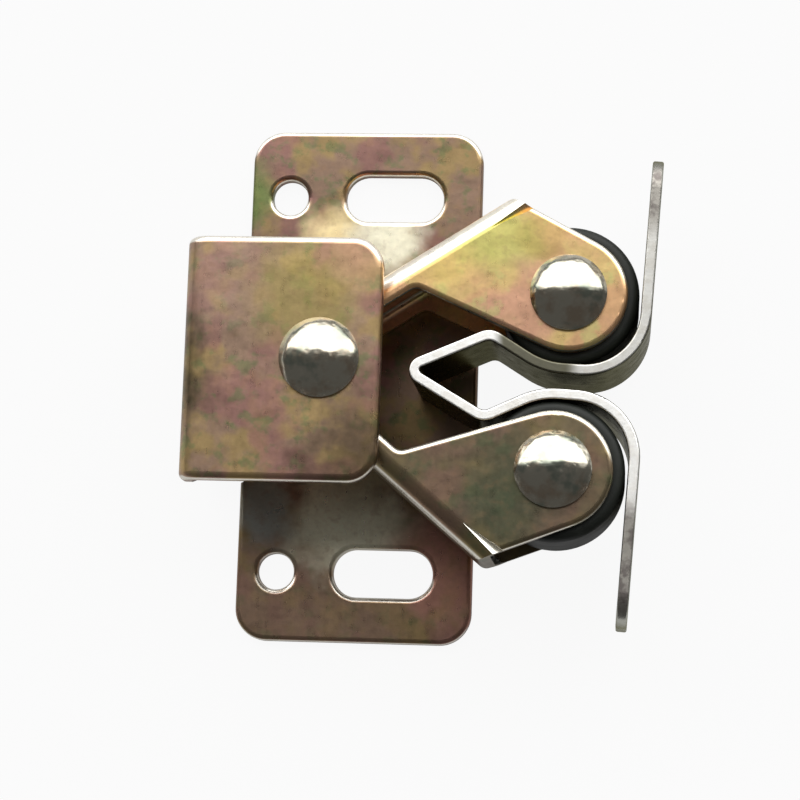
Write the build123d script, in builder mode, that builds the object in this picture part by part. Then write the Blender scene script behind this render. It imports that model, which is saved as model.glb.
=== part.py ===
from build123d import *
import os
from math import acos, asin, atan2, cos, degrees, pi, radians, sin, sqrt, tan

# Double roller catch: a folded steel housing carries two sprung, roller-tipped jaws on one rivet,
# and a folded spring-steel strike with an arrow head is held between the two rollers.
# Millimetres. The origin is the middle of the base plate's back face, +Z away from the cupboard,
# +X from the housing towards the strike, +Y along the base plate.

# Base plate and housing, one folded sheet
sheet = 1.2
plate_length = 49.0
plate_width = 22.2
plate_corner = 3.0
screw_hole_diameter = 3.4
screw_hole_inset = 3.7
screw_row_spacing = 36.0
slot_length = 9.4
slot_width = 4.5
slot_inset = 8.4
foot_width = 18.2
foot_relief_radius = 0.6
wall_overhang = 3.6
housing_width = 22.2
top_plate_depth = 18.0
top_plate_corner = 2.8
fold_inner_radius = 0.8
taper_height = 11.0
rolled_edge = 0.5
top_rolled_edge = 0.7

# Rivets: formed heads on the near side, flush or low tails on the far side
rivet_shank = 3.0
pivot_inset = 12.5
pivot_head_diameter = 7.2
pivot_head_height = 1.9
pivot_tail_diameter = 4.8
pivot_tail_height = 0.9
roller_head_diameter = 6.9
roller_head_height = 1.8
roller_tail_diameter = 4.6
roller_tail_height = 0.7
head_rim = 0.3
rivet_fit = 0.05
hinge_clearance = 0.06

# Jaws: two equal pressings, one turned over, their ears stacked on the pivot rivet
jaw_sheet = 1.0
jaw_channel = 9.8
stack_gap = 0.1
roller_reach = 23.0
jaw_spread = 20.5
group_turn = -3.6
web_angle = 36.6
web_offset = 4.05
web_length = 22.4
web_start = 2.8
jaw_bend_radius = 1.8
jaw_inner_bend = 0.8
jaw_ear_radius = 3.6
neck_offset = 1.45
nose_radius = 5.3
belly_angle = 20.6
notch_radius = 1.0
web_corner_radius = 0.8
crease_start = 19.2
crease_root_offset = 2.45
crease_mouth_offset = 1.9
crease_depth = 0.65
crease_flange_slope = 0.2
crease_web_slope = 1.7
crease_overlap = 0.3
jaw_rolled_edge = 0.5

# Rollers
roller_diameter = 12.7
roller_side_gap = 0.1
roller_bore_clearance = 0.08
roller_edge = 0.8

# Strike: one strip folded into an arrow head, a neck and two wings
strip = 1.0
strip_rolled_edge = 0.2
strike_width = 11.0
neck_clearance = 0.04
back_slope = 28.5
shoulder_x = 14.9
tip_x = 7.4
tip_radius = 0.8
shoulder_radius = 1.5
wing_clearance = 0.2
wing_bend_radius = 5.0
wing_span = 42.6
wing_corner = 3.0
wing_hole_diameter = 4.0
wing_hole_spacing = 29.0

# Torsion spring round the pivot rivet, one leg behind each jaw's web
spring_wire = 0.9
spring_clearance = 0.1
spring_pitch = 1.0
spring_turns = 5
spring_leg_gap = 0.05
spring_leg_length = 6.4
spring_leg_bend = 1.1

# How near an edge has to lie to a place to be picked by it
same_place = 0.01

# Sizes that follow from the ones above
half_plate = plate_width / 2
wall_outer_x = -half_plate - wall_overhang
pivot_x = wall_outer_x + pivot_inset
jaw_height = jaw_channel + 2 * jaw_sheet
upper_jaw_bottom = sheet + stack_gap
upper_jaw_top = upper_jaw_bottom + jaw_height
lower_jaw_bottom = upper_jaw_bottom + jaw_sheet + stack_gap
lower_jaw_top = lower_jaw_bottom + jaw_height
housing_inside_top = lower_jaw_top + stack_gap
housing_top = housing_inside_top + sheet
mid_height = (upper_jaw_bottom + lower_jaw_top) / 2
shank_radius = rivet_shank / 2
roller_radius = roller_diameter / 2
roller_length = jaw_channel - 2 * roller_side_gap
roller_x = roller_reach * cos(radians(jaw_spread))
roller_y = roller_reach * sin(radians(jaw_spread))


def group_plane(height, turned_over=False):
    """Plane through the pivot axis at a height, along the line on which jaws and strike stand."""
    turn = radians(group_turn)
    normal = (0, 0, -1) if turned_over else (0, 0, 1)
    return Plane(origin=(pivot_x, 0, height), x_dir=(cos(turn), sin(turn), 0), z_dir=normal)


def upright_plane(spot):
    """Upright plane through a spot of the plan view, for profiles that are turned about its axis."""
    return Plane(origin=(spot.X, spot.Y, 0), x_dir=(1, 0, 0), z_dir=(0, -1, 0))


def make_housing():
    """Base plate, side wall and top plate: one sheet, folded twice, with its edges rolled by the die."""
    top_x = wall_outer_x + top_plate_depth
    hole_x = -half_plate + screw_hole_inset
    slot_x = half_plate - slot_inset
    fold_radius = fold_inner_radius + sheet / 2
    wall_mid_x = wall_outer_x + sheet / 2
    fold_end = sheet + fold_inner_radius
    with BuildPart() as housing:
        with BuildSketch(Plane.XZ):
            with BuildLine():
                FilletPolyline(
                    (top_x, housing_top - sheet / 2),
                    (wall_mid_x, housing_top - sheet / 2),
                    (wall_mid_x, sheet / 2),
                    (0, sheet / 2),
                    radius=fold_radius,
                )
            trace(line_width=sheet)
        extrude(amount=housing_width / 2, both=True)
        # The wall narrows towards the base plate, so its foot stands clear of the tabs.
        with BuildSketch(Plane.YZ.offset(-half_plate)):
            with BuildLine():
                Polyline(
                    (foot_width / 2, -sheet),
                    (foot_width / 2, fold_end),
                    (housing_width / 2, fold_end + taper_height),
                    (housing_width, fold_end + taper_height),
                    (housing_width, -sheet),
                    close=True,
                )
            make_face()
            mirror(about=Plane.YZ)
        extrude(amount=-2 * wall_overhang, mode=Mode.SUBTRACT)
        top_corners = housing.edges().filter_by(Axis.Z).group_by(Axis.X)[-1]
        fillet(top_corners, radius=top_plate_corner)
        with BuildSketch():
            Rectangle(plate_width, plate_length)
            fillet(vertices(), radius=plate_corner)
        extrude(amount=sheet)
        with BuildSketch():
            with Locations((-half_plate, foot_width / 2), (-half_plate, -foot_width / 2)):
                Circle(foot_relief_radius)
            with GridLocations(0, screw_row_spacing, 1, 2):
                with Locations((hole_x, 0)):
                    Circle(screw_hole_diameter / 2)
                with Locations((slot_x, 0)):
                    SlotOverall(slot_length, slot_width)
        extrude(amount=sheet, mode=Mode.SUBTRACT)
        # Pivot hole through both sheets, countersunk behind for the rivet's flush tail.
        with BuildSketch():
            with Locations((pivot_x, 0)):
                Circle(shank_radius + rivet_fit)
        extrude(amount=housing_top, mode=Mode.SUBTRACT)
        with BuildSketch():
            with Locations((pivot_x, 0)):
                Circle(pivot_tail_diameter / 2 + rivet_fit)
        extrude(
            amount=pivot_tail_height,
            taper=degrees(atan2((pivot_tail_diameter - rivet_shank) / 2, pivot_tail_height)),
            mode=Mode.SUBTRACT,
        )
        # The die rolls the upper edges of the base plate, its holes and the top plate.
        plate_top = housing.faces().filter_by(Axis.Z).sort_by_distance((half_plate, 0, sheet))[0]
        plate_rim = plate_top.edges().filter_by(
            lambda edge: abs(edge.center().Y) > foot_width / 2 + foot_relief_radius
            or edge.center().X > half_plate - rolled_edge
        )
        fillet(plate_rim, radius=rolled_edge)
        top_face = housing.faces().sort_by(Axis.Z)[-1]
        top_rim = top_face.outer_wire().edges().filter_by(
            lambda edge: edge.center().X > wall_outer_x + sheet + fold_inner_radius + top_rolled_edge
        )
        fillet(top_rim, radius=top_rolled_edge)
    housing.part.label = "housing"
    return housing.part


def make_rivet(name, spot, head_seat, head_diameter, head_height, foot, tail_profile):
    """Rivet turned about its own axis: domed head, plain shank, and a tail of the given half profile."""
    head_radius = head_diameter / 2
    head_top = head_seat + head_height
    rim_top = head_seat + head_rim
    dome_radius = (head_radius**2 + (head_top - rim_top) ** 2) / (2 * (head_top - rim_top))
    half_sweep = asin(head_radius / dome_radius) / 2
    halfway = (dome_radius * sin(half_sweep), head_top - dome_radius * (1 - cos(half_sweep)))
    rim_corner = (head_radius, rim_top)
    with BuildPart() as rivet:
        with BuildSketch(upright_plane(spot)):
            with BuildLine():
                tail = Polyline((0, foot), *tail_profile)
                Polyline(tail @ 1, (shank_radius, head_seat), (head_radius, head_seat), rim_corner)
                ThreePointArc(rim_corner, halfway, (0, head_top))
                Line((0, head_top), (0, foot))
            make_face()
        revolve(axis=Axis((spot.X, spot.Y, 0), (0, 0, 1)))
    rivet.part.label = name
    return rivet.part


def nose_tangent(outside, side):
    """Point where a line from an outside point touches the nose circle, on the given side of it."""
    reach_x = outside[0] - roller_x
    reach_y = outside[1] - roller_y
    distance = sqrt(reach_x**2 + reach_y**2)
    angle = atan2(reach_y, reach_x) + side * acos(nose_radius / distance)
    return (roller_x + nose_radius * cos(angle), roller_y + nose_radius * sin(angle))


def web_point(along, offset):
    """Point of the jaw's plan, given along the web and square to it, seen from the pivot."""
    lean = radians(web_angle)
    return (along * cos(lean) - offset * sin(lean), along * sin(lean) + offset * cos(lean))


def make_jaw(name, seat):
    """One jaw: a U channel folded along its outer web, with two ears at the pivot and a round nose."""
    belly = radians(belly_angle)
    belly_touch = (roller_x - nose_radius * sin(belly), roller_y - nose_radius * cos(belly))
    lean = radians(web_angle)
    touch_offset = belly_touch[1] * cos(lean) - belly_touch[0] * sin(lean)
    back_up = (neck_offset - touch_offset) / sin(lean + belly)
    notch = (belly_touch[0] - back_up * cos(belly), belly_touch[1] + back_up * sin(belly))
    corner = web_point(web_length, web_offset)
    nose_touch = nose_tangent(corner, -1)
    web_direction = seat.x_dir * cos(lean) + seat.y_dir * sin(lean)
    web_foot = seat.from_local_coords(Vector(*web_point(web_start, 0), 0))
    section = Plane(origin=web_foot, x_dir=seat.z_dir.cross(web_direction), z_dir=web_direction)
    middle = (0, jaw_height / 2)
    fold_room = web_offset + jaw_bend_radius
    with BuildPart() as jaw:
        with BuildSketch(seat):
            with BuildLine():
                Line(notch, belly_touch)
                ThreePointArc(belly_touch, (roller_x + nose_radius, roller_y), nose_touch)
                Polyline(
                    nose_touch,
                    corner,
                    web_point(web_start, web_offset),
                    web_point(web_start, neck_offset),
                    notch,
                )
            make_face()
            Circle(jaw_ear_radius)
            for spot, radius in ((notch, notch_radius), (corner, web_corner_radius)):
                fillet(vertices().sort_by_distance(spot)[0], radius=radius)
        extrude(amount=jaw_height)
        # The channel between the flanges stays open from the web inwards and behind the web's foot.
        with BuildSketch(section):
            with Locations(middle):
                with Locations((web_offset - jaw_sheet, 0)):
                    Rectangle(2 * roller_reach, jaw_channel, align=(Align.MAX, Align.CENTER))
            fillet(vertices().group_by(Axis.X)[-1], radius=jaw_inner_bend)
        extrude(amount=2 * roller_reach, mode=Mode.SUBTRACT)
        with BuildSketch(section):
            with Locations(middle):
                Rectangle(4 * web_offset, jaw_channel)
        extrude(amount=-2 * roller_reach, mode=Mode.SUBTRACT)
        # Outside of the two folds.
        with BuildSketch(section):
            with Locations(middle):
                with Locations((fold_room, 0)):
                    Rectangle(2 * fold_room, 2 * jaw_height, align=(Align.MAX, Align.CENTER))
                with Locations((web_offset, 0)):
                    RectangleRounded(
                        4 * roller_reach,
                        jaw_height,
                        jaw_bend_radius,
                        align=(Align.MAX, Align.CENTER),
                        mode=Mode.SUBTRACT,
                    )
        extrude(amount=2 * roller_reach, mode=Mode.SUBTRACT)
        # A crease runs out of the web's end between flange and fold, and fades along the web.
        crease_rise = crease_depth + crease_overlap
        crease_ends = (
            (crease_start, crease_root_offset, 0),
            (web_length + jaw_bend_radius, crease_mouth_offset, crease_depth),
        )
        for surface, outwards in ((0, -1), (jaw_height, 1)):
            for along, root, depth in crease_ends:
                bottom = surface - outwards * depth
                with BuildSketch(section.offset(along - web_start)):
                    with BuildLine():
                        Polyline(
                            (root, bottom),
                            (root - crease_flange_slope * crease_rise, bottom + outwards * crease_rise),
                            (root + crease_web_slope * crease_rise, bottom + outwards * crease_rise),
                            close=True,
                        )
                    make_face()
            loft(ruled=True, mode=Mode.SUBTRACT)
        for height in (0, jaw_height):
            flange_middle = seat.from_local_coords(Vector(roller_x, roller_y, height))
            outer_face = jaw.faces().sort_by_distance(flange_middle)[0]
            rim = [
                edge
                for edge in outer_face.outer_wire().edges()
                if seat.to_local_coords(edge.center()).X > jaw_ear_radius
                and section.to_local_coords(edge.center()).X < crease_mouth_offset
            ]
            fillet(rim, radius=jaw_rolled_edge)
        with BuildSketch(seat):
            Circle(shank_radius + hinge_clearance)
            with Locations((roller_x, roller_y)):
                Circle(shank_radius + rivet_fit)
        extrude(amount=jaw_height, mode=Mode.SUBTRACT)
    jaw.part.label = name
    return jaw.part


def make_roller(name, seat):
    """Plastic roller with softened rims, running on its rivet between the two flanges of a jaw."""
    with BuildPart() as roller:
        with BuildSketch(seat):
            with Locations((roller_x, roller_y)):
                Circle(roller_radius)
                Circle(shank_radius + roller_bore_clearance, mode=Mode.SUBTRACT)
        extrude(amount=roller_length)
        rims = roller.edges().filter_by(GeomType.CIRCLE).group_by(SortBy.RADIUS)[-1]
        fillet(rims, radius=roller_edge)
    roller.part.label = name
    return roller.part


def make_strike():
    """Strike: one strip folded to an arrow head, a neck that hugs the rollers, and two drilled wings."""
    hug = roller_radius + neck_clearance + strip / 2
    neck_y = roller_y - hug
    slope = radians(back_slope)
    neck_x = roller_x - hug * sin(slope) + (roller_y - hug * cos(slope) - neck_y) / tan(slope)
    shoulder_y = neck_y + (neck_x - shoulder_x) * tan(slope)
    wing_x = roller_x + roller_radius + wing_clearance + strip / 2
    half_path = [
        (shoulder_x, shoulder_y),
        (neck_x, neck_y),
        (wing_x, neck_y),
        (wing_x, wing_span / 2),
    ]
    below = [(x, -y) for x, y in reversed(half_path)]
    bends = [wing_bend_radius + strip / 2, hug, shoulder_radius]
    with BuildPart() as strike:
        with BuildSketch(group_plane(mid_height - strike_width / 2)):
            with BuildLine():
                FilletPolyline(*below, (tip_x, 0), *half_path, radius=bends + [tip_radius] + bends[::-1])
            trace(line_width=strip)
        extrude(amount=strike_width)
        ends = group_plane(mid_height)
        tips = [
            edge
            for edge in strike.edges().filter_by(GeomType.LINE)
            if abs(abs(ends.to_local_coords(edge.center()).Y) - wing_span / 2) < same_place
            and edge.length < strip + same_place
        ]
        fillet(tips, radius=wing_corner)
        # Shearing and tumbling leave the strip's long edges rolled.
        rims = [
            edge
            for face in strike.faces().filter_by(Axis.Z)
            for edge in face.edges()
            if abs(abs(ends.to_local_coords(edge.center()).Y) - wing_span / 2 + wing_corner) > same_place
        ]
        fillet(rims, radius=strip_rolled_edge)
        wing_face = Plane(
            origin=ends.from_local_coords(Vector(wing_x, 0, 0)),
            x_dir=ends.y_dir,
            z_dir=ends.x_dir,
        )
        with BuildSketch(wing_face):
            with GridLocations(wing_hole_spacing, 0, 2, 1):
                Circle(wing_hole_diameter / 2)
        extrude(amount=strip, both=True, mode=Mode.SUBTRACT)
    strike.part.label = "strike"
    return strike.part


def make_spring():
    """Torsion spring: close turns on the pivot rivet, one leg lying along the back of each jaw's web."""
    coil_radius = shank_radius + spring_clearance + spring_wire / 2
    coil_height = spring_turns * spring_pitch
    rise = spring_pitch / (2 * pi * coil_radius)
    lean = radians(web_angle)
    leg_offset = web_offset + spring_leg_gap + spring_wire / 2
    leg_y = (leg_offset - coil_radius * sin(lean)) / cos(lean)
    end_x = -coil_radius + spring_leg_length * cos(lean)
    end_y = leg_y + spring_leg_length * sin(lean)
    turn = radians(group_turn)
    coil_plane = Plane(
        origin=(pivot_x, 0, mid_height - coil_height / 2),
        x_dir=(-cos(turn), -sin(turn), 0),
        z_dir=(0, 0, 1),
    )
    with BuildPart() as spring:
        with BuildLine() as wire:
            FilletPolyline(
                (-end_x, -end_y, -leg_y * rise),
                (coil_radius, -leg_y, -leg_y * rise),
                (coil_radius, 0, 0),
                radius=spring_leg_bend,
            )
            Helix(pitch=spring_pitch, height=coil_height, radius=coil_radius)
            FilletPolyline(
                (coil_radius, 0, coil_height),
                (coil_radius, leg_y, coil_height + leg_y * rise),
                (-end_x, end_y, coil_height + leg_y * rise),
                radius=spring_leg_bend,
            )
        path = wire.wire()
        with BuildSketch(Plane(origin=path @ 0, z_dir=path % 0)):
            Circle(spring_wire / 2)
        sweep(path=path)
    placed = spring.part.moved(coil_plane.location)
    placed.label = "torsion_spring"
    return placed


plan = group_plane(0)
pivot_spot = plan.from_local_coords(Vector(0, 0, 0))
upper_spot = plan.from_local_coords(Vector(roller_x, roller_y, 0))
lower_spot = plan.from_local_coords(Vector(roller_x, -roller_y, 0))
upper_seat = group_plane(upper_jaw_bottom)
lower_seat = group_plane(lower_jaw_top, turned_over=True)
pivot_tail = [
    (pivot_tail_diameter / 2, 0),
    (shank_radius, pivot_tail_height),
]
tail_radius = roller_tail_diameter / 2


def roller_tail(seat_height):
    """Half profile of a roller rivet's formed tail, below the far flange."""
    return [
        (tail_radius, seat_height - roller_tail_height),
        (tail_radius, seat_height),
        (shank_radius, seat_height),
    ]


pieces = [
    make_housing(),
    make_rivet(
        "pivot_rivet",
        pivot_spot,
        housing_top,
        pivot_head_diameter,
        pivot_head_height,
        0,
        pivot_tail,
    ),
    make_jaw("upper_jaw", upper_seat),
    make_jaw("lower_jaw", lower_seat),
    make_roller("upper_roller", upper_seat.offset(jaw_sheet + roller_side_gap)),
    make_roller("lower_roller", lower_seat.offset(jaw_sheet + roller_side_gap)),
    make_rivet(
        "upper_roller_rivet",
        upper_spot,
        upper_jaw_top,
        roller_head_diameter,
        roller_head_height,
        upper_jaw_bottom - roller_tail_height,
        roller_tail(upper_jaw_bottom),
    ),
    make_rivet(
        "lower_roller_rivet",
        lower_spot,
        lower_jaw_top,
        roller_head_diameter,
        roller_head_height,
        lower_jaw_bottom - roller_tail_height,
        roller_tail(lower_jaw_bottom),
    ),
    make_strike(),
    make_spring(),
]

os.makedirs("parts", exist_ok=True)
for piece in pieces:
    export_step(piece, f"parts/{piece.label}.step")
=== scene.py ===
"""Looks of the double roller catch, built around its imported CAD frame.

The catch lies on its back under a high softbox. The pressings are zinc plated and passivated yellow, which
leaves soft patches of gold, rose and green. The strike is plain bright zinc, the rollers are black plastic.
Lengths are in metres, or in millimetres where a name ends in _mm, in the frame of the CAD part.
"""

import logging
import math
from dataclasses import dataclass
from enum import Enum

import bpy
import numpy as np
from mathutils import Matrix, Vector

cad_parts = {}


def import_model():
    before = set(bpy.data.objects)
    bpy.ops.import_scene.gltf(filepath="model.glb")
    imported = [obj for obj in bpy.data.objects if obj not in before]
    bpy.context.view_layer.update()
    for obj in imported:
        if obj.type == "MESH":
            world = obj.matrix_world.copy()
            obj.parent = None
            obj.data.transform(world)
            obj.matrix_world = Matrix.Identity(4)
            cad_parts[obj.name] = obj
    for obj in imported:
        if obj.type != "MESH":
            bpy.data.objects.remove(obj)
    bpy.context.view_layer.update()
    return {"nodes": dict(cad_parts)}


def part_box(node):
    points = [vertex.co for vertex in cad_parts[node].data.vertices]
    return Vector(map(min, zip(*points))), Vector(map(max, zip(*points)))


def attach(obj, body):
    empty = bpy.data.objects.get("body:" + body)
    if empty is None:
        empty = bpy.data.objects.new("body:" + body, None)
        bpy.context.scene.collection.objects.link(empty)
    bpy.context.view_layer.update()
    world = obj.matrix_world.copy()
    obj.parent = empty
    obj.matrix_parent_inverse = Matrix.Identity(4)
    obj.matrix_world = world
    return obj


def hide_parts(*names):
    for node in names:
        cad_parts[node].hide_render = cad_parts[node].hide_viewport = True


LOG = logging.getLogger("roller_catch")
MM = 0.001
NOISE_MIDDLE = 0.5

Colour = tuple[float, float, float]
Point = tuple[float, float, float]
Band = tuple[float, float]

WHITE: Colour = (1.0, 1.0, 1.0)


class Body(Enum):
    """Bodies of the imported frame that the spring's pieces ride on."""

    PAIR = "pair"
    UPPER_ARM = "upper_arm"
    LOWER_ARM = "lower_arm"


class Face(Enum):
    """Flat faces that clouds lie on, each by its height above the catch's back in millimetres."""

    PLATE = 1.0
    JAW = 13.0
    TOP = 15.5


def linear(red: int, green: int, blue: int) -> Colour:
    """Turn an 8-bit display colour into the linear one that shaders take.

    A level c from 0 to 1 becomes ((c + 0.055) / 1.055) to the power of 2.4, or c / 12.92 up to 0.04045.

    Args:
        red: Red, 0 to 255.
        green: Green, 0 to 255.
        blue: Blue, 0 to 255.

    Returns:
        The three linear values.
    """
    levels = (channel / 255 for channel in (red, green, blue))
    return tuple(level / 12.92 if level <= 0.04045 else ((level + 0.055) / 1.055) ** 2.4 for level in levels)


class Value:
    """A number inside a shader graph, on which plain Python arithmetic adds Math nodes."""

    def __init__(self, graph: "Graph", socket: bpy.types.NodeSocket) -> None:
        """Wrap one output socket of a graph."""
        self.graph = graph
        self.socket = socket

    def _math(self, operation: str, first: "Value | float", second: "Value | float") -> "Value":
        """Add one Math node.

        Args:
            operation: Blender's name of the operation.
            first: A Value or a number.
            second: A Value or a number.

        Returns:
            The node's result.
        """
        node = self.graph.add("ShaderNodeMath", {"operation": operation}, {0: first, 1: second})
        return Value(self.graph, node.outputs[0])

    def __add__(self, other: "Value | float") -> "Value":
        """Sum."""
        return self._math("ADD", self, other)

    __radd__ = __add__

    def __sub__(self, other: "Value | float") -> "Value":
        """Difference."""
        return self._math("SUBTRACT", self, other)

    def __rsub__(self, other: "Value | float") -> "Value":
        """Difference from a number."""
        return self._math("SUBTRACT", other, self)

    def __mul__(self, other: "Value | float") -> "Value":
        """Product."""
        return self._math("MULTIPLY", self, other)

    __rmul__ = __mul__

    def __truediv__(self, other: "Value | float") -> "Value":
        """Quotient."""
        return self._math("DIVIDE", self, other)

    def at_least(self, other: "Value | float") -> "Value":
        """The larger of this and the other."""
        return self._math("MAXIMUM", self, other)

    def at_most(self, other: "Value | float") -> "Value":
        """The smaller of this and the other."""
        return self._math("MINIMUM", self, other)

    def size(self) -> "Value":
        """The number without its sign."""
        return self.at_least(self * -1)

    def swing(self, span: float) -> "Value":
        """Noise taken about its middle and scaled to a span."""
        return (self - NOISE_MIDDLE) * span

    def step(self, low: float, high: float) -> "Value":
        """Rise smoothly from 0 at low to 1 at high.

        Args:
            low: Where the rise starts.
            high: Where it ends.

        Returns:
            The smooth step.
        """
        node = self.graph.add(
            "ShaderNodeMapRange",
            {"interpolation_type": "SMOOTHSTEP"},
            {"Value": self, "From Min": low, "From Max": high},
        )
        return Value(self.graph, node.outputs[0])


class Graph:
    """A node graph, with short ways to add nodes to it."""

    def __init__(self, tree: bpy.types.NodeTree) -> None:
        """Empty a node tree and start on it."""
        self.tree = tree
        self.tree.nodes.clear()

    def add(self, kind: str, settings: dict, inputs: dict) -> bpy.types.Node:
        """Add a node, set it up, then fill its sockets.

        Args:
            kind: Blender's name of the node type.
            settings: The node's own settings, set first.
            inputs: Values or links of its sockets, by name or index.

        Returns:
            The node.
        """
        node = self.tree.nodes.new(kind)
        for key, setting in settings.items():
            setattr(node, key, setting)
        for key, given in inputs.items():
            socket = node.inputs[key]
            if isinstance(given, Value):
                self.tree.links.new(given.socket, socket)
            elif isinstance(given, bpy.types.NodeSocket):
                self.tree.links.new(given, socket)
            elif isinstance(given, tuple) and len(given) == 3 and socket.type == "RGBA":
                socket.default_value = (*given, 1.0)
            else:
                socket.default_value = given
        return node

    def axis(self, vector: bpy.types.NodeSocket, name: str) -> Value:
        """One coordinate of a vector.

        Args:
            vector: The vector's socket.
            name: X, Y or Z.

        Returns:
            The coordinate.
        """
        split = self.add("ShaderNodeSeparateXYZ", {}, {0: vector})
        return Value(self, split.outputs[name])


@dataclass(frozen=True)
class Pattern:
    """Soft noise: the width of a patch, its finer octaves, its squeeze along each axis and its start."""

    patch_mm: float
    detail: float = 2.0
    fineness: float = 0.5
    squeeze: Point = (1.0, 1.0, 1.0)
    start_mm: float = 0.0


@dataclass(frozen=True)
class Spread:
    """How a tint spreads with a noise: the band over which it fades in, and its full share."""

    band: Band
    share: float

    def over(self, noise: Value) -> Value:
        """Share of the tint at each level of the noise."""
        return noise.step(*self.band) * self.share


@dataclass(frozen=True)
class Relief:
    """How deep a height pattern is, and how strongly it bends the normal."""

    depth_mm: float
    strength: float


@dataclass(frozen=True)
class Rim:
    """Rounded edges that carry a painted highlight, found by where the normal points.

    Each band is a range of one part of the normal. The rim fades in over the first as the normal rises,
    fades out over the second, and fades in over the third as the normal turns aside.
    """

    rise: Band
    fall: Band
    turn: Band

    def mask(self, up: Value, aside: Value) -> Value:
        """Where the rim is, from the normal's upward and sideways parts."""
        return up.step(*self.rise) * (1 - up.step(*self.fall)) * aside.step(*self.turn)


class Surface(Graph):
    """One material's node graph, with a Principled shader at its end."""

    def __init__(self, name: str) -> None:
        """Start an empty material.

        Args:
            name: The material's name.
        """
        self.material = bpy.data.materials.new(name)
        self.material.use_nodes = True
        super().__init__(self.material.node_tree)
        self.output = self.add("ShaderNodeOutputMaterial", {}, {})
        self.place = self.add("ShaderNodeTexCoord", {}, {}).outputs["Object"]
        self.normal = self.add("ShaderNodeNewGeometry", {}, {}).outputs["Normal"]

    def noise(self, pattern: Pattern, start_mm: float = 0.0, scale: float = 1.0) -> Value:
        """Soft noise in the frame's own coordinates, shifted along a slanted line so that no two line up.

        Args:
            pattern: What the noise is like.
            start_mm: A further shift, which sets one piece's noise apart from another's.
            scale: Factor on the width of its patches.

        Returns:
            A value near 0.5, from 0 to 1.
        """
        start = (pattern.start_mm + start_mm) * MM
        mapping = self.add(
            "ShaderNodeMapping",
            {"vector_type": "POINT"},
            {"Vector": self.place, "Location": (start, start / 2, start / 3), "Scale": pattern.squeeze},
        )
        node = self.add(
            "ShaderNodeTexNoise",
            {},
            {
                "Vector": mapping.outputs[0],
                "Scale": 1 / (pattern.patch_mm * scale * MM),
                "Detail": pattern.detail,
                "Roughness": pattern.fineness,
            },
        )
        return Value(self, node.outputs["Fac"])

    def mix(
        self,
        share: Value | float,
        first: Colour | bpy.types.NodeSocket,
        second: Colour | bpy.types.NodeSocket,
    ) -> bpy.types.NodeSocket:
        """Blend two colours.

        Args:
            share: How much of the second.
            first: A colour or a socket.
            second: A colour or a socket.

        Returns:
            The blended colour's socket.
        """
        node = self.add("ShaderNodeMix", {"data_type": "RGBA"}, {"Factor": share, 6: first, 7: second})
        return node.outputs[2]

    def shade(self, colour: Colour | bpy.types.NodeSocket, level: Value) -> bpy.types.NodeSocket:
        """Scale a colour's brightness.

        Args:
            colour: A colour or a socket.
            level: The factor.

        Returns:
            The scaled colour's socket.
        """
        grey = self.add("ShaderNodeCombineXYZ", {}, {0: level, 1: level, 2: level})
        node = self.add("ShaderNodeVectorMath", {"operation": "MULTIPLY"}, {0: colour, 1: grey.outputs[0]})
        return node.outputs[0]

    def bump(
        self,
        height: Value,
        relief: Relief,
        under: bpy.types.NodeSocket | None = None,
    ) -> bpy.types.NodeSocket:
        """Turn a height pattern into a normal.

        Args:
            height: The pattern, 0 to 1.
            relief: Its depth and strength.
            under: A coarser bump that this one lies on.

        Returns:
            The bent normal's socket.
        """
        node = self.add(
            "ShaderNodeBump",
            {},
            {"Height": height, "Distance": relief.depth_mm * MM, "Strength": relief.strength},
        )
        if under is not None:
            self.tree.links.new(under, node.inputs["Normal"])
        return node.outputs[0]

    def finish(self, **sockets: object) -> bpy.types.Material:
        """Close the graph with a Principled shader.

        Args:
            **sockets: The shader's sockets, with underscores for spaces.

        Returns:
            The finished material.
        """
        inputs = {name.replace("_", " "): given for name, given in sockets.items()}
        shader = self.add("ShaderNodeBsdfPrincipled", {}, inputs)
        self.tree.links.new(shader.outputs[0], self.output.inputs[0])
        return self.material


@dataclass(frozen=True)
class Cloud:
    """A soft round cloud of another colour: mostly a passivation tint, some painted highlight and painted
    light.
    """

    x_mm: float
    y_mm: float
    face: Face
    radius_mm: float
    colour: Colour
    share: float = 0.7
    fade: Band = (0.3, 1.0)
    fray: float = 1.2

    def mask(self, graph: Surface, drift: Value) -> Value:
        """Share of the cloud at each place: full inside, frayed by the drift, gone at its radius.

        Args:
            graph: The material's graph.
            drift: Noise near 0.5.

        Returns:
            The share.
        """
        centre = (self.x_mm * MM, self.y_mm * MM, self.face.value * MM)
        apart = graph.add("ShaderNodeVectorMath", {"operation": "DISTANCE"}, {0: graph.place, 1: centre})
        reach = Value(graph, apart.outputs["Value"]) / (self.radius_mm * MM) + drift.swing(self.fray)
        return (1 - reach.step(*self.fade)) * self.share


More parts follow.
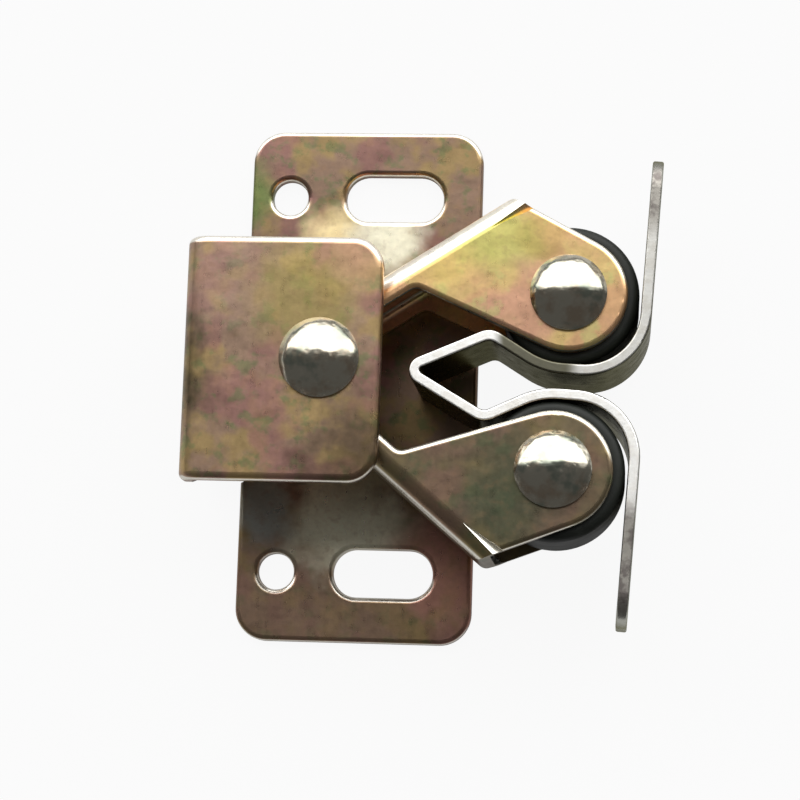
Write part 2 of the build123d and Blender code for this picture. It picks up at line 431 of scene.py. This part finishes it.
@dataclass(frozen=True)
class YellowZinc:
    """Zinc plate passivated yellow: a brown-grey ground with soft patches of gold, rose and green.

    Clouds lie over the patches, and fine flecks of stain over the clouds. Rounded edges carry a painted
    highlight: a wide band where the rolled edges face +Y, towards the softbox, and a thin line where they
    face -Y. Low in the catch the tints keep low_gain of their brightness. Other gains change the brightness
    and hazes the roughness, each with the noise that it is named for.
    """

    name: str
    ground: Colour = linear(176, 146, 124)
    gold: Colour = linear(184, 160, 112)
    gold_patch: Pattern = Pattern(5.0, 3.0, 0.55)
    gold_spread: Spread = Spread((0.45, 0.62), 0.6)
    rose: Colour = linear(180, 138, 128)
    rose_patch: Pattern = Pattern(6.5, start_mm=31)
    rose_spread: Spread = Spread((0.5, 0.62), 0.6)
    green: Colour = linear(134, 146, 104)
    green_patch: Pattern = Pattern(2.5, 3.0, 0.6, start_mm=77)
    green_spread: Spread = Spread((0.52, 0.66), 0.55)
    clouds: tuple[Cloud, ...] = ()
    stain: Colour = linear(134, 104, 78)
    stain_spread: Spread = Spread((0.5, 0.75), 0.3)
    # Near-white painted highlight on rounded edges, mostly those facing the softbox.
    rim_highlight: Colour = linear(252, 248, 236)
    rim_highlight_share: float = 0.92
    lit_side_rim: Rim = Rim((0.2, 0.4), (0.95, 0.995), (0.08, 0.25))
    far_side_rim: Rim = Rim((0.06, 0.2), (0.5, 0.65), (0.3, 0.6))
    low_gain: float = 1.0
    low_band_mm: Band = (1.5, 5.0)
    level: float = 0.76
    grain_gain: float = 0.2
    fleck_gain: float = 0.28
    drift_gain: float = 0.3
    metallic: float = 0.86
    roughness: float = 0.3
    fleck_haze: float = 0.12
    scratch_haze: float = 0.08
    fleck: Pattern = Pattern(0.9, 2.0, 0.6, start_mm=19)
    grain: Pattern = Pattern(0.4, start_mm=5)
    grain_relief: Relief = Relief(0.008, 0.4)
    scratch: Pattern = Pattern(0.3, squeeze=(1.0, 0.05, 1.0), start_mm=11)
    scratch_depth: float = 0.4
    waves: Pattern = Pattern(3.5, start_mm=51)
    wave_relief: Relief = Relief(0.08, 0.6)
    patch_scale: float = 1.0
    start_mm: float = 0.0

    def build(self) -> bpy.types.Material:
        """Make the material.

        Returns:
            The finished material.
        """
        graph = Surface(self.name)
        drift = graph.noise(self.gold_patch, self.start_mm, self.patch_scale)
        fleck = graph.noise(self.fleck, self.start_mm)
        grain = graph.noise(self.grain, self.start_mm)
        scratch = graph.noise(self.scratch, self.start_mm)
        colour = self._tinted(graph, drift)
        for cloud in self.clouds:
            colour = graph.mix(cloud.mask(graph, drift), colour, cloud.colour)
        colour = graph.mix(self.stain_spread.over(fleck), colour, self.stain)
        colour = self._paint_rim_highlights(graph, colour)
        level = self.level + grain * self.grain_gain + fleck * self.fleck_gain + drift.swing(self.drift_gain)
        ripple = graph.bump(graph.noise(self.waves, self.start_mm), self.wave_relief)
        return graph.finish(
            Base_Color=graph.shade(colour, level),
            Metallic=self.metallic,
            Roughness=self.roughness + fleck.swing(self.fleck_haze) + scratch.swing(self.scratch_haze),
            Normal=graph.bump(grain + scratch * self.scratch_depth, self.grain_relief, ripple),
        )

    def _tinted(self, graph: Surface, drift: Value) -> bpy.types.NodeSocket:
        """Lay patches of gold, rose and green over the ground, and darken what lies low in the catch.

        Args:
            graph: The material's graph.
            drift: The noise that the gold follows.

        Returns:
            The colour's socket.
        """
        turn = graph.noise(self.rose_patch, self.start_mm, self.patch_scale)
        spot = graph.noise(self.green_patch, self.start_mm, self.patch_scale)
        colour = graph.mix(self.gold_spread.over(drift), self.ground, self.gold)
        colour = graph.mix(self.rose_spread.over(turn), colour, self.rose)
        colour = graph.mix(self.green_spread.over(spot), colour, self.green)
        height_mm = graph.axis(graph.place, "Z") / MM
        return graph.shade(colour, self.low_gain + height_mm.step(*self.low_band_mm) * (1 - self.low_gain))

    def _paint_rim_highlights(self, graph: Surface, colour: bpy.types.NodeSocket) -> bpy.types.NodeSocket:
        """Paint a highlight on the edges on the +Y side, and a thin highlight line along those on the other.

        Args:
            graph: The material's graph.
            colour: The colour so far.

        Returns:
            The colour's socket.
        """
        up = graph.axis(graph.normal, "Z")
        aside = graph.axis(graph.normal, "Y")
        highlight_rims = self.lit_side_rim.mask(up, aside).at_least(self.far_side_rim.mask(up, aside * -1))
        return graph.mix(highlight_rims * self.rim_highlight_share, colour, self.rim_highlight)


@dataclass(frozen=True)
class BrightZinc:
    """Plain zinc plate on strip steel: grey broad faces, sheared edges that are bright and mottled.

    The broad faces are painted darkest in the neck, a painted shade on the inner faces between the legs, and
    turn pale and spangled towards the wings. The cut edge is painted dark along the upper leg of the neck,
    from the shoulder to the neck's end, a painted shade where the edge tilts from the light, and torn at the
    wings.
    Grazing is the tint of what the plate mirrors at a low angle.
    """

    name: str
    # The neck's faces: painted shade, darker than the plain zinc of the wing faces.
    face: Colour = linear(104, 103, 88)
    face_shadow: Colour = linear(74, 73, 62)
    face_spread: Spread = Spread((0.3, 0.75), 0.8)
    wing_face: Colour = linear(184, 184, 176)
    wing_face_shadow: Colour = linear(150, 150, 142)
    spangle: Pattern = Pattern(2.6, 3.0, 0.6, start_mm=27)
    spangle_band: Band = (0.36, 0.64)
    edge: Colour = linear(255, 254, 250)
    edge_shadow: Colour = linear(222, 217, 208)
    edge_mottle: float = 0.5
    torn: Colour = linear(166, 162, 154)
    torn_shadow: Colour = linear(118, 112, 108)
    # Painted shade on the cut edge of the upper leg, which tilts away from the light.
    tilted_edge_shade: Colour = linear(92, 90, 72)
    tilted_edge_shade_share: float = 0.96
    grazing: Colour = linear(188, 186, 162)
    bend_start_mm: float = 4.5
    wing_start_mm: float = 11.0
    wing_fade_mm: float = 3.0
    shoulder_mm: float = 13.6
    shoulder_fade_mm: float = 0.6
    neck_end_mm: float = 20.4
    neck_fade_mm: float = 0.8
    neck_loss: float = 0.6
    upper_band_mm: Band = (-1.3, -1.0)
    cut_band: Band = (0.6, 0.95)
    mottle: Pattern = Pattern(1.3, 3.0, 0.6, start_mm=3)
    blotch_band: Band = (0.42, 0.62)
    grain: Pattern = Pattern(0.4, 2.0, 0.6, start_mm=9)
    lines: Pattern = Pattern(0.22, squeeze=(0.05, 0.05, 1.0), start_mm=14)
    line_depth: float = 0.6
    relief: Relief = Relief(0.02, 0.4)
    roughness: float = 0.24
    cut_haze: float = 0.2
    mottle_haze: float = 0.3
    line_haze: float = 0.1

    def build(self) -> bpy.types.Material:
        """Make the material.

        Returns:
            The finished material.
        """
        graph = Surface(self.name)
        mottle = graph.noise(self.mottle)
        grain = graph.noise(self.grain)
        lines = graph.noise(self.lines)
        across_mm = graph.axis(graph.place, "Y") / MM
        cut = graph.axis(graph.normal, "Z").size().step(*self.cut_band)
        face = self._face(graph, mottle, across_mm.size())
        edge = self._edge(graph, mottle.step(*self.blotch_band), across_mm)
        roughness = self.roughness + cut * self.cut_haze + mottle.swing(self.mottle_haze)
        return graph.finish(
            Base_Color=graph.mix(cut, face, edge),
            Metallic=1.0,
            Roughness=roughness + lines.swing(self.line_haze),
            Specular_Tint=self.grazing,
            Normal=graph.bump(grain + lines * self.line_depth + mottle * cut, self.relief),
        )

    def _face(self, graph: Surface, mottle: Value, reach_mm: Value) -> bpy.types.NodeSocket:
        """Colour of the strip's broad faces, with painted shade in the neck.

        Args:
            graph: The material's graph.
            mottle: Noise near 0.5.
            reach_mm: Distance from the catch's middle line.

        Returns:
            The colour's socket.
        """
        # Painted shade on the neck's inner faces, mottled.
        shaded_neck_face = graph.mix(self.face_spread.over(mottle), self.face, self.face_shadow)
        spangle = graph.noise(self.spangle).step(*self.spangle_band)
        wing_face = graph.mix(spangle, self.wing_face, self.wing_face_shadow)
        return graph.mix(reach_mm.step(self.bend_start_mm, self.wing_start_mm), shaded_neck_face, wing_face)

    def _edge(self, graph: Surface, blotch: Value, across_mm: Value) -> bpy.types.NodeSocket:
        """Colour of the strip's cut edges.

        Args:
            graph: The material's graph.
            blotch: Share of the darker blotches.
            across_mm: Place across the catch.

        Returns:
            The colour's socket.
        """
        along_mm = graph.axis(graph.place, "X") / MM
        past_shoulder = along_mm.step(
            self.shoulder_mm - self.shoulder_fade_mm,
            self.shoulder_mm + self.shoulder_fade_mm,
        )
        past_neck = along_mm.step(self.neck_end_mm - self.neck_fade_mm, self.neck_end_mm + self.neck_fade_mm)
        # Where the upper leg's cut edge gets its painted shade.
        shaded_upper_leg = past_shoulder * across_mm.step(*self.upper_band_mm) * (1 - past_neck * self.neck_loss)
        wing = across_mm.size().step(self.wing_start_mm, self.wing_start_mm + self.wing_fade_mm)
        edge = graph.mix(blotch * self.edge_mottle, self.edge, self.edge_shadow)
        edge = graph.mix(shaded_upper_leg * self.tilted_edge_shade_share, edge, self.tilted_edge_shade)
        return graph.mix(wing, edge, graph.mix(blotch, self.torn, self.torn_shadow))


@dataclass(frozen=True)
class RivetSteel:
    """Bright rivet steel with a faint yellow passivation and the marks of the forming tool."""

    name: str
    colour: Colour = linear(214, 208, 190)
    tarnish: Colour = linear(184, 158, 132)
    tarnish_patch: Pattern = Pattern(2.0, 3.0, 0.6, start_mm=21)
    tarnish_spread: Spread = Spread((0.45, 0.68), 0.6)
    verdigris: Colour = linear(142, 156, 142)
    verdigris_patch: Pattern = Pattern(2.6, 3.0, 0.6, start_mm=57)
    verdigris_spread: Spread = Spread((0.5, 0.66), 0.7)
    pits: Pattern = Pattern(0.9, start_mm=4)
    pit_band: Band = (0.62, 0.74)
    pit_relief: Relief = Relief(0.012, 0.4)
    waves: Pattern = Pattern(1.7, 1.5, start_mm=66)
    wave_relief: Relief = Relief(0.2, 0.6)
    roughness: float = 0.1
    haze: float = 0.1

    def build(self) -> bpy.types.Material:
        """Make the material.

        Returns:
            The finished material.
        """
        graph = Surface(self.name)
        tarnish = graph.noise(self.tarnish_patch)
        verdigris = graph.noise(self.verdigris_patch)
        dents = graph.noise(self.pits).step(*self.pit_band)
        colour = graph.mix(self.tarnish_spread.over(tarnish), self.colour, self.tarnish)
        ripple = graph.bump(graph.noise(self.waves), self.wave_relief)
        return graph.finish(
            Base_Color=graph.mix(self.verdigris_spread.over(verdigris), colour, self.verdigris),
            Metallic=1.0,
            Roughness=self.roughness + (tarnish + dents) * self.haze,
            Normal=graph.bump(1 - dents, self.pit_relief, ripple),
        )


@dataclass(frozen=True)
class RollerPlastic:
    """Black moulded plastic, slightly glossy where the roller has run on the strike."""

    name: str
    colour: Colour = linear(26, 29, 25)
    worn: Colour = linear(42, 45, 39)
    haze: Pattern = Pattern(3.0, 3.0, 0.6, start_mm=8)
    worn_spread: Spread = Spread((0.5, 0.75), 0.5)
    rings: Pattern = Pattern(0.5, squeeze=(0.15, 0.15, 1.0), start_mm=2)
    ring_share: float = 0.15
    haze_depth: float = 0.3
    relief: Relief = Relief(0.02, 0.3)
    roughness: float = 0.5
    roughness_swing: float = 0.25
    shine: float = 0.3

    def build(self) -> bpy.types.Material:
        """Make the material.

        Returns:
            The finished material.
        """
        graph = Surface(self.name)
        haze = graph.noise(self.haze)
        rings = graph.noise(self.rings)
        worn = self.worn_spread.over(haze) + rings * self.ring_share
        return graph.finish(
            Base_Color=graph.mix(worn, self.colour, self.worn),
            Roughness=self.roughness + haze.swing(self.roughness_swing),
            Specular_IOR_Level=self.shine,
            Normal=graph.bump(rings + haze * self.haze_depth, self.relief),
        )


@dataclass(frozen=True)
class SpringWire:
    """Drawn spring wire with dark patches of oil and fine marks of the drawing die."""

    name: str
    colour: Colour = linear(150, 146, 134)
    oiled: Colour = linear(84, 80, 70)
    oil: Pattern = Pattern(1.8, 2.0, 0.6, start_mm=12)
    oil_band: Band = (0.4, 0.7)
    marks: Pattern = Pattern(0.2, 2.0, 0.6, start_mm=40)
    relief: Relief = Relief(0.01, 0.4)
    roughness: float = 0.3
    roughness_swing: float = 0.2

    def build(self) -> bpy.types.Material:
        """Make the material.

        Returns:
            The finished material.
        """
        graph = Surface(self.name)
        marks = graph.noise(self.marks)
        oil = graph.noise(self.oil).step(*self.oil_band)
        return graph.finish(
            Base_Color=graph.mix(oil, self.colour, self.oiled),
            Metallic=1.0,
            Roughness=self.roughness + marks.swing(self.roughness_swing),
            Normal=graph.bump(marks, self.relief),
        )


# The housing is darker low down, with pale clouds on its plate on both sides of the top plate:
# a painted highlight on the +Y side, and painted light in the top plate's shade on the -Y side.
HOUSING_ZINC = YellowZinc(
    "housing_zinc",
    gold=linear(190, 164, 100),
    rose=linear(176, 124, 122),
    green=linear(122, 142, 94),
    clouds=(
        Cloud(-11.0, 7.0, Face.TOP, 7.0, linear(176, 146, 130), 0.45),
        Cloud(-3.5, 6.0, Face.TOP, 6.5, linear(176, 160, 92), 0.65),
        Cloud(1.5, 9.5, Face.TOP, 4.5, linear(214, 172, 134)),
        Cloud(-17.5, -1.0, Face.TOP, 8.0, linear(76, 71, 46), 0.95),
        Cloud(3.5, -9.5, Face.TOP, 9.5, linear(96, 82, 60), 0.75),
        Cloud(-11.5, 18.0, Face.PLATE, 4.0, linear(112, 132, 74), 0.8),
        # Painted highlight: a white glare on the plate between the top plate and the upper slot.
        Cloud(-3.0, 14.2, Face.PLATE, 4.0, linear(255, 232, 176), 0.9),
        Cloud(2.0, 14.2, Face.PLATE, 5.0, linear(255, 250, 222), 0.95),
        Cloud(-2.0, -19.0, Face.PLATE, 16.0, linear(172, 142, 118), 0.5),
        # Painted light: lifts the plate in the top plate's shade below its -Y edge.
        Cloud(-1.0, -12.2, Face.PLATE, 7.5, linear(255, 248, 218), 1.0),
        Cloud(-9.0, -12.2, Face.PLATE, 4.5, linear(172, 176, 170), 0.85),
        Cloud(8.5, -18.0, Face.PLATE, 7.0, linear(214, 150, 134), 0.6),
    ),
    low_gain=0.64,
    patch_scale=0.72,
    start_mm=12,
)

# The upper jaw is a lit copy of the jaws' one finish: painted light, as its flanges lean towards
# the softbox. It is the brightest gold.
UPPER_JAW_PAINTED_LIGHT_ZINC = YellowZinc(
    "upper_jaw_zinc_painted_light",
    ground=linear(226, 180, 134),
    gold=linear(226, 204, 130),
    rose=linear(222, 168, 146),
    green=linear(206, 208, 134),
    clouds=(
        Cloud(8.5, 9.5, Face.JAW, 4.0, linear(240, 216, 124), 0.6),
        Cloud(13.5, 11.5, Face.JAW, 4.5, linear(206, 212, 116)),
        Cloud(17.5, 12.0, Face.JAW, 3.0, linear(204, 178, 104), 0.5),
    ),
    start_mm=40,
)

# The lower jaw is a shaded copy of the same finish: painted shade, as its flanges lean away from
# the softbox. It is the darkest, olive towards its nose.
LOWER_JAW_PAINTED_SHADE_ZINC = YellowZinc(
    "lower_jaw_zinc_painted_shade",
    ground=linear(134, 120, 94),
    gold=linear(150, 134, 92),
    rose=linear(150, 116, 104),
    green=linear(104, 116, 84),
    clouds=(
        Cloud(15.0, -12.5, Face.JAW, 6.5, linear(86, 96, 76)),
        Cloud(4.0, -6.0, Face.JAW, 4.0, linear(146, 124, 104)),
    ),
    start_mm=90,
)


def grid_faces(rows: int, columns: int) -> np.ndarray:
    """Quads of a grid of points whose rows are rings.

    Face (r, c) joins points c and c + 1 of ring r to the same two of ring r + 1. The last point of a ring is
    followed by its first.

    Args:
        rows: How many rings.
        columns: How many points in a ring.

    Returns:
        One row of four point numbers per face, wound outwards for rings that turn to the left.
    """
    row, column = np.meshgrid(np.arange(rows - 1), np.arange(columns), indexing="ij")
    following = (column + 1) % columns
    near = row * columns
    far = near + columns
    return np.stack([near + column, near + following, far + following, far + column], axis=-1).reshape(-1, 4)


def make_object(name: str, points: np.ndarray, faces: list[list[int]]) -> bpy.types.Object:
    """Put computed points and faces into a smooth mesh object at the origin.

    Args:
        name: The piece's name.
        points: Its points, in metres.
        faces: The point numbers of each face.

    Returns:
        The linked object.
    """
    mesh = bpy.data.meshes.new(name)
    mesh.from_pydata(points.tolist(), [], faces)
    mesh.shade_smooth()
    mesh.update()
    piece = bpy.data.objects.new(name, mesh)
    bpy.context.scene.collection.objects.link(piece)
    return piece


def tube(name: str, path: np.ndarray, radius: float, sides: int) -> bpy.types.Object:
    """Round wire along a path: a circle carried along it in planes square to the path.

    At each point of the path, rise is the vertical axis with its part along the path taken away, and side is
    square to both. The circle's points are centre + radius * (cos a * side + sin a * rise).

    Args:
        name: The piece's name.
        path: Points of the wire's middle, in metres.
        radius: The wire's radius, in metres.
        sides: Points round the wire.

    Returns:
        The wire as a closed mesh.
    """
    run = np.gradient(path, axis=0)
    run /= np.linalg.norm(run, axis=1, keepdims=True)
    rise = np.array([0.0, 0.0, 1.0]) - run * run[:, 2:3]
    rise /= np.linalg.norm(rise, axis=1, keepdims=True)
    side = np.cross(rise, run)
    angle = np.linspace(0, 2 * np.pi, sides, endpoint=False)[None, :, None]
    ring = np.cos(angle) * side[:, None, :] + np.sin(angle) * rise[:, None, :]
    points = (path[:, None, :] + radius * ring).reshape(-1, 3)
    first_cap = list(range(sides))[::-1]
    last_cap = list(range(len(points) - sides, len(points)))
    return make_object(name, points, grid_faces(len(path), sides).tolist() + [first_cap, last_cap])


@dataclass
class Studio:
    """Floor, a wide softbox drawn in the surroundings, and the camera of the photograph's view.

    The camera was fitted to the photograph. Its focal length is given in pixels of a picture that is
    image_pixels wide, and target_pixel is where the camera's target shows in it.
    """

    camera_place: Point = (0.02515, -0.03557, 0.22683)
    camera_target: Point = (0.0029, 0.0, 0.005)
    camera_roll_degrees: float = -1.918
    nearest: float = 0.01
    farthest: float = 10.0
    focal_pixels: float = 2423.6
    target_pixel: tuple[float, float] = (386.95, 377.36)
    image_pixels: int = 800
    sensor_mm: float = 36.0
    floor_size: float = 3.0
    floor_drop: float = 0.00002
    background_glow: float = 0.93
    mirrored_glow: float = 0.29
    floor_grey: float = 0.5
    dim_level: float = 0.1
    softbox_level: float = 3.1
    softbox_band: Band = (0.22, 0.38)
    horizon_band: Band = (0.04, 0.22)

    def build(self) -> None:
        """Set up everything that isn't the object."""
        self._floor()
        self._world()
        self._camera()
        bpy.context.scene.view_settings.view_transform = "Standard"

    def _floor(self) -> None:
        """Grey floor that keeps the shadow, and glows white to the camera and dimly in reflections."""
        half = self.floor_size / 2
        corners = np.array([[-half, -half, 0], [half, -half, 0], [half, half, 0], [-half, half, 0]])
        corners[:, 2] = -self.floor_drop
        floor = make_object("floor", corners, [[0, 1, 2, 3]])
        graph = Surface("floor_white")
        paths = graph.add("ShaderNodeLightPath", {}, {})
        mirrored = Value(graph, paths.outputs["Is Glossy Ray"])
        mirrored = (mirrored + Value(graph, paths.outputs["Is Transmission Ray"])).at_most(1.0)
        seen = Value(graph, paths.outputs["Is Camera Ray"])
        share = (seen * self.background_glow).at_least(mirrored * self.mirrored_glow)
        plain = graph.add("ShaderNodeBsdfDiffuse", {}, {"Color": (self.floor_grey,) * 3})
        glow = graph.add("ShaderNodeEmission", {}, {"Color": WHITE, "Strength": 1.0})
        blend = graph.add("ShaderNodeMixShader", {}, {0: share, 1: plain.outputs[0], 2: glow.outputs[0]})
        graph.tree.links.new(blend.outputs[0], graph.output.inputs[0])
        floor.data.materials.append(graph.material)

    def _world(self) -> None:
        """Dim surroundings with one wide softbox that fills the upper sky on the +Y side.

        Its level rises with the direction's Y past the softbox's near edge, and fades out at the horizon.
        """
        world = bpy.data.worlds.new("studio")
        bpy.context.scene.world = world
        world.use_nodes = True
        graph = Graph(world.node_tree)
        direction = graph.add("ShaderNodeTexCoord", {}, {}).outputs["Generated"]
        beyond_edge = graph.axis(direction, "Y").step(*self.softbox_band)
        above_horizon = graph.axis(direction, "Z").step(*self.horizon_band)
        level = self.dim_level + beyond_edge * above_horizon * (self.softbox_level - self.dim_level)
        background = graph.add("ShaderNodeBackground", {}, {"Color": WHITE, "Strength": level})
        graph.add("ShaderNodeOutputWorld", {}, {0: background.outputs[0]})

    def _camera(self) -> None:
        """Camera of the photograph: placed, aimed, rolled and shifted as its perspective shows."""
        lens = bpy.data.cameras.new("camera")
        lens.sensor_width = self.sensor_mm
        lens.lens = self.focal_pixels / self.image_pixels * self.sensor_mm
        lens.clip_start = self.nearest
        lens.clip_end = self.farthest
        middle = self.image_pixels / 2
        lens.shift_x = (middle - self.target_pixel[0]) / self.image_pixels
        lens.shift_y = (self.target_pixel[1] - middle) / self.image_pixels
        camera = bpy.data.objects.new("camera", lens)
        place = Vector(self.camera_place)
        ahead = (Vector(self.camera_target) - place).normalized()
        right = ahead.cross(Vector((0, 1, 0))).normalized()
        up = right.cross(ahead)
        roll = math.radians(self.camera_roll_degrees)
        rolled_right = right * math.cos(roll) - up * math.sin(roll)
        rolled_up = right * math.sin(roll) + up * math.cos(roll)
        turn = Matrix((rolled_right, rolled_up, -ahead)).transposed()
        camera.matrix_world = Matrix.Translation(place) @ turn.to_4x4()
        bpy.context.scene.collection.objects.link(camera)
        bpy.context.scene.camera = camera


@dataclass
class CatchPieces:
    """The pressings, rivets, rollers and strike that the frame already carries."""

    nodes: dict[str, bpy.types.Object]

    def dress(self, node: str, material: bpy.types.Material) -> None:
        """Give a CAD node its material.

        Args:
            node: The node's name.
            material: What it wears.
        """
        slots = self.nodes[node].material_slots
        if not slots:
            self.nodes[node].data.materials.append(material)
        for slot in slots:
            slot.material = material
        LOG.info("dressed %s in %s", node, material.name)

    def build(self) -> None:
        """Dress every CAD node that stays."""
        self.dress("housing", HOUSING_ZINC.build())
        self.dress("upper_jaw", UPPER_JAW_PAINTED_LIGHT_ZINC.build())
        self.dress("lower_jaw", LOWER_JAW_PAINTED_SHADE_ZINC.build())
        rivets = RivetSteel("rivet_steel").build()
        for node in ("pivot_rivet", "upper_roller_rivet", "lower_roller_rivet"):
            self.dress(node, rivets)
        plastic = RollerPlastic("roller_black").build()
        for node in ("upper_roller", "lower_roller"):
            self.dress(node, plastic)
        self.dress("strike", BrightZinc("strike_zinc").build())


@dataclass
class JawSpring:
    """Torsion spring on the pivot rivet: its turns stay on the pair, each leg goes with its jaw.

    The pair leans by pair_lean_degrees from +X. The web of each jaw stands at web_degrees to the pair, and
    the leg behind it lies leg_offset from the pivot.
    """

    pivot: Point
    pair_lean_degrees: float = -3.6
    wire_radius: float = 0.45 * MM
    coil_radius: float = 2.05 * MM
    pitch: float = 1.0 * MM
    turns: int = 5
    web_degrees: float = 36.6
    leg_offset: float = 4.55 * MM
    leg_length: float = 6.4 * MM
    bend_radius: float = 1.1 * MM
    steps_a_turn: int = 40
    bend_steps: int = 9
    run_steps: int = 8
    wire_sides: int = 14

    def _placed(self, local: np.ndarray) -> np.ndarray:
        """Turn points from the pair's own axes into the frame's.

        Args:
            local: Points round the pivot, +X along the pair.

        Returns:
            The points in the frame.
        """
        turn = math.radians(self.pair_lean_degrees)
        cosine, sine = math.cos(turn), math.sin(turn)
        spin = np.array([[cosine, -sine, 0], [sine, cosine, 0], [0, 0, 1]])
        return local @ spin.T + np.array(self.pivot)

    def _coil(self) -> np.ndarray:
        """Path of the turns: round the pivot at the coil's radius, rising one pitch a turn.

        Returns:
            Points of the wire's middle.
        """
        angle = np.linspace(0, 2 * np.pi * self.turns, self.turns * self.steps_a_turn + 1)
        height = (angle / (2 * np.pi) - self.turns / 2) * self.pitch
        ahead = -self.coil_radius * np.cos(angle)
        aside = -self.coil_radius * np.sin(angle)
        return np.stack([ahead, aside, height], axis=1)

    def _leg(self, side: int) -> np.ndarray:
        """Path of one leg: down the coil's tangent, round a bend, along the back of the web.

        The bend is an arc that touches both runs, and its centre lies one bend radius from each. The wire
        goes on at the coil's own slope as far as the corner where the two runs would meet.

        Args:
            side: 1 for the upper jaw, -1 for the lower.

        Returns:
            Points of the wire's middle.
        """
        lean = math.radians(self.web_degrees)
        corner_y = (self.leg_offset - self.coil_radius * math.sin(lean)) / math.cos(lean)
        corner = np.array([-self.coil_radius, corner_y])
        trim = self.bend_radius * math.tan((math.pi / 2 - lean) / 2)
        centre = corner + np.array([self.bend_radius, -trim])
        sweep = np.linspace(math.pi, math.pi / 2 + lean, self.bend_steps)
        bend = centre + self.bend_radius * np.stack([np.cos(sweep), np.sin(sweep)], axis=1)
        start = np.array([-self.coil_radius, 0.0])
        end = corner + self.leg_length * np.array([math.cos(lean), math.sin(lean)])
        share = np.linspace(0, 1, self.run_steps)[:, None]
        first_run = start * (1 - share) + bend[0] * share
        last_run = bend[-1] * (1 - share) + end * share
        plan = np.concatenate([first_run[:-1], bend, last_run[1:]])
        slope = self.pitch / (2 * math.pi * self.coil_radius)
        height = self.turns * self.pitch / 2 + np.minimum(plan[:, 1], corner_y) * slope
        return np.stack([plan[:, 0], side * plan[:, 1], -side * height], axis=1)

    def build(self) -> None:
        """Make the coil and its two legs, and hang each on its body."""
        wire = SpringWire("spring_wire").build()
        pieces = (
            ("spring_coil", self._coil(), Body.PAIR),
            ("spring_leg_upper", self._leg(1), Body.UPPER_ARM),
            ("spring_leg_lower", self._leg(-1), Body.LOWER_ARM),
        )
        for name, path, body in pieces:
            piece = tube(name, self._placed(path), self.wire_radius, self.wire_sides)
            piece.data.materials.append(wire)
            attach(piece, body.value)
            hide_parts("torsion_spring")
            LOG.info("made %s", name)


def main() -> None:
    """Build the studio, then dress and complete the catch."""
    logging.basicConfig(level=logging.INFO, format="%(message)s")
    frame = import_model()
    Studio().build()
    CatchPieces(frame["nodes"]).build()
    low, high = (np.array(corner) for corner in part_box("pivot_rivet"))
    spring_low, spring_high = (np.array(corner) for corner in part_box("torsion_spring"))
    middle = (low + high) / 2
    spring_level = (spring_low[2] + spring_high[2]) / 2
    JawSpring(pivot=(float(middle[0]), float(middle[1]), float(spring_level))).build()


if __name__ == "__main__":
    main()
